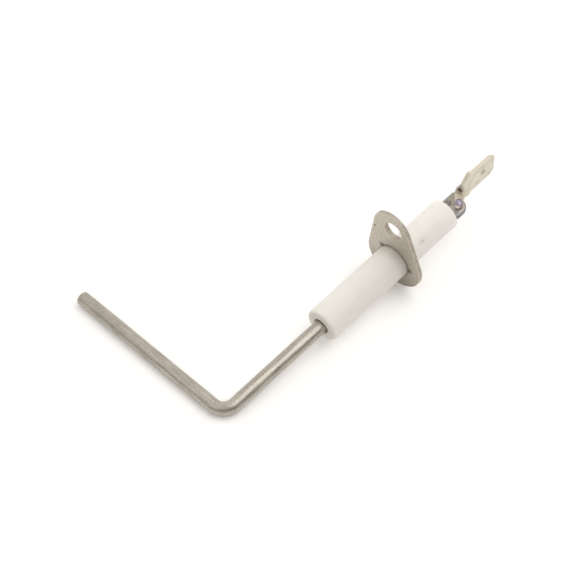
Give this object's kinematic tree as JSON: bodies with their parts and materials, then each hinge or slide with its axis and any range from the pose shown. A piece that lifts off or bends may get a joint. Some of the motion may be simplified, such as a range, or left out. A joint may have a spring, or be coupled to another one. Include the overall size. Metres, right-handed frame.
{
  "type": "flame sensor probe",
  "caption": "L-shaped flame rod cemented in a stepped ceramic insulator, with an eared mounting flange and a twisted quick-connect tab.",
  "frame": {"origin": "on the insulator's axis, in the plane of the flange's front face, which bears on the burner's bracket", "axes": "+Y along the insulator's axis towards the terminal; the rod bends towards -X; the flange's ear points up, +Z, leaning 5 degrees towards -X"},
  "size_m": [0.0507, 0.0881, 0.022],
  "materials": {
    "rod_steel": "dull drawn heat-resistant alloy wire",
    "ceramic": "unglazed matt alumina",
    "cement": "matt refractory cement",
    "flange_steel": "satin stamped stainless sheet",
    "ring_steel": "satin spring steel",
    "tinned_terminal": "satin tin-plated brass strip",
    "weld": "heat-tinted weld metal"
  },
  "bodies": {
    "root": {"electrode_rod": "rod_steel", "ceramic_insulator": "ceramic", "cement_front": "cement", "cement_rear": "cement", "mounting_flange": "flange_steel", "retaining_ring": "ring_steel", "terminal_tab": "tinned_terminal", "weld_nugget": "weld"}
  },
  "joints": []
}
